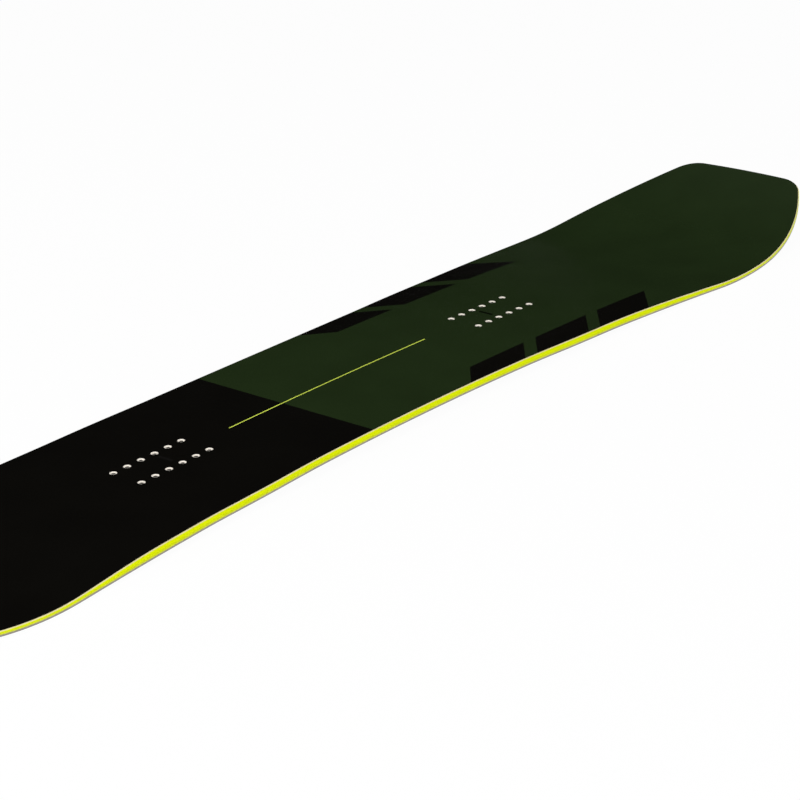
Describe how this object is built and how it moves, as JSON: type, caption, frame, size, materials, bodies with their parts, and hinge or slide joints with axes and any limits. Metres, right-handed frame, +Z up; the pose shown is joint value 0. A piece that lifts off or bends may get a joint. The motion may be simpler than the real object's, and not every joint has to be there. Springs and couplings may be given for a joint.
{
  "type": "snowboard",
  "caption": "Directional cambered snowboard as a full sandwich lay-up: base, steel edges, foils, laminates, wood core, sidewalls, end spacers, topsheet and threaded binding inserts.",
  "frame": {"origin": "mid-length on the centre line, on the floor plane that the two contact lines stand on", "axes": "+X along the board towards the nose, +Y towards the left edge, +Z up out of the deck"},
  "size_m": [1.62, 0.3046, 0.0548],
  "materials": {
    "base": "satin",
    "steel_edge": "satin",
    "foil": "matte",
    "laminate": "satin",
    "light_core": "matte",
    "hard_core": "matte",
    "sidewall": "satin",
    "topsheet": "satin",
    "insert": "satin"
  },
  "bodies": {
    "root": {"base_sheet": "base", "lower_laminate": "laminate", "upper_laminate": "laminate", "topsheet": "topsheet", "nose_spacer": "sidewall", "tail_spacer": "sidewall", "steel_edge_left": "steel_edge", "steel_edge_right": "steel_edge", "damping_foil_left": "foil", "damping_foil_right": "foil", "sidewall_left": "sidewall", "sidewall_right": "sidewall", "insert_stringer_left": "hard_core", "insert_stringer_right": "hard_core", "stringer_left_1": "light_core", "stringer_left_2": "light_core", "stringer_left_3": "light_core", "stringer_left_4": "light_core", "stringer_right_1": "light_core", "stringer_right_2": "light_core", "stringer_right_3": "light_core", "stringer_right_4": "light_core", "insert_front_left_1": "insert", "insert_front_left_2": "insert", "insert_front_left_3": "insert", "insert_front_left_4": "insert", "insert_front_left_5": "insert", "insert_front_left_6": "insert", "insert_front_right_1": "insert", "insert_front_right_2": "insert", "insert_front_right_3": "insert", "insert_front_right_4": "insert", "insert_front_right_5": "insert", "insert_front_right_6": "insert", "insert_rear_left_1": "insert", "insert_rear_left_2": "insert", "insert_rear_left_3": "insert", "insert_rear_left_4": "insert", "insert_rear_left_5": "insert", "insert_rear_left_6": "insert", "insert_rear_right_1": "insert", "insert_rear_right_2": "insert", "insert_rear_right_3": "insert", "insert_rear_right_4": "insert", "insert_rear_right_5": "insert", "insert_rear_right_6": "insert"}
  },
  "joints": []
}
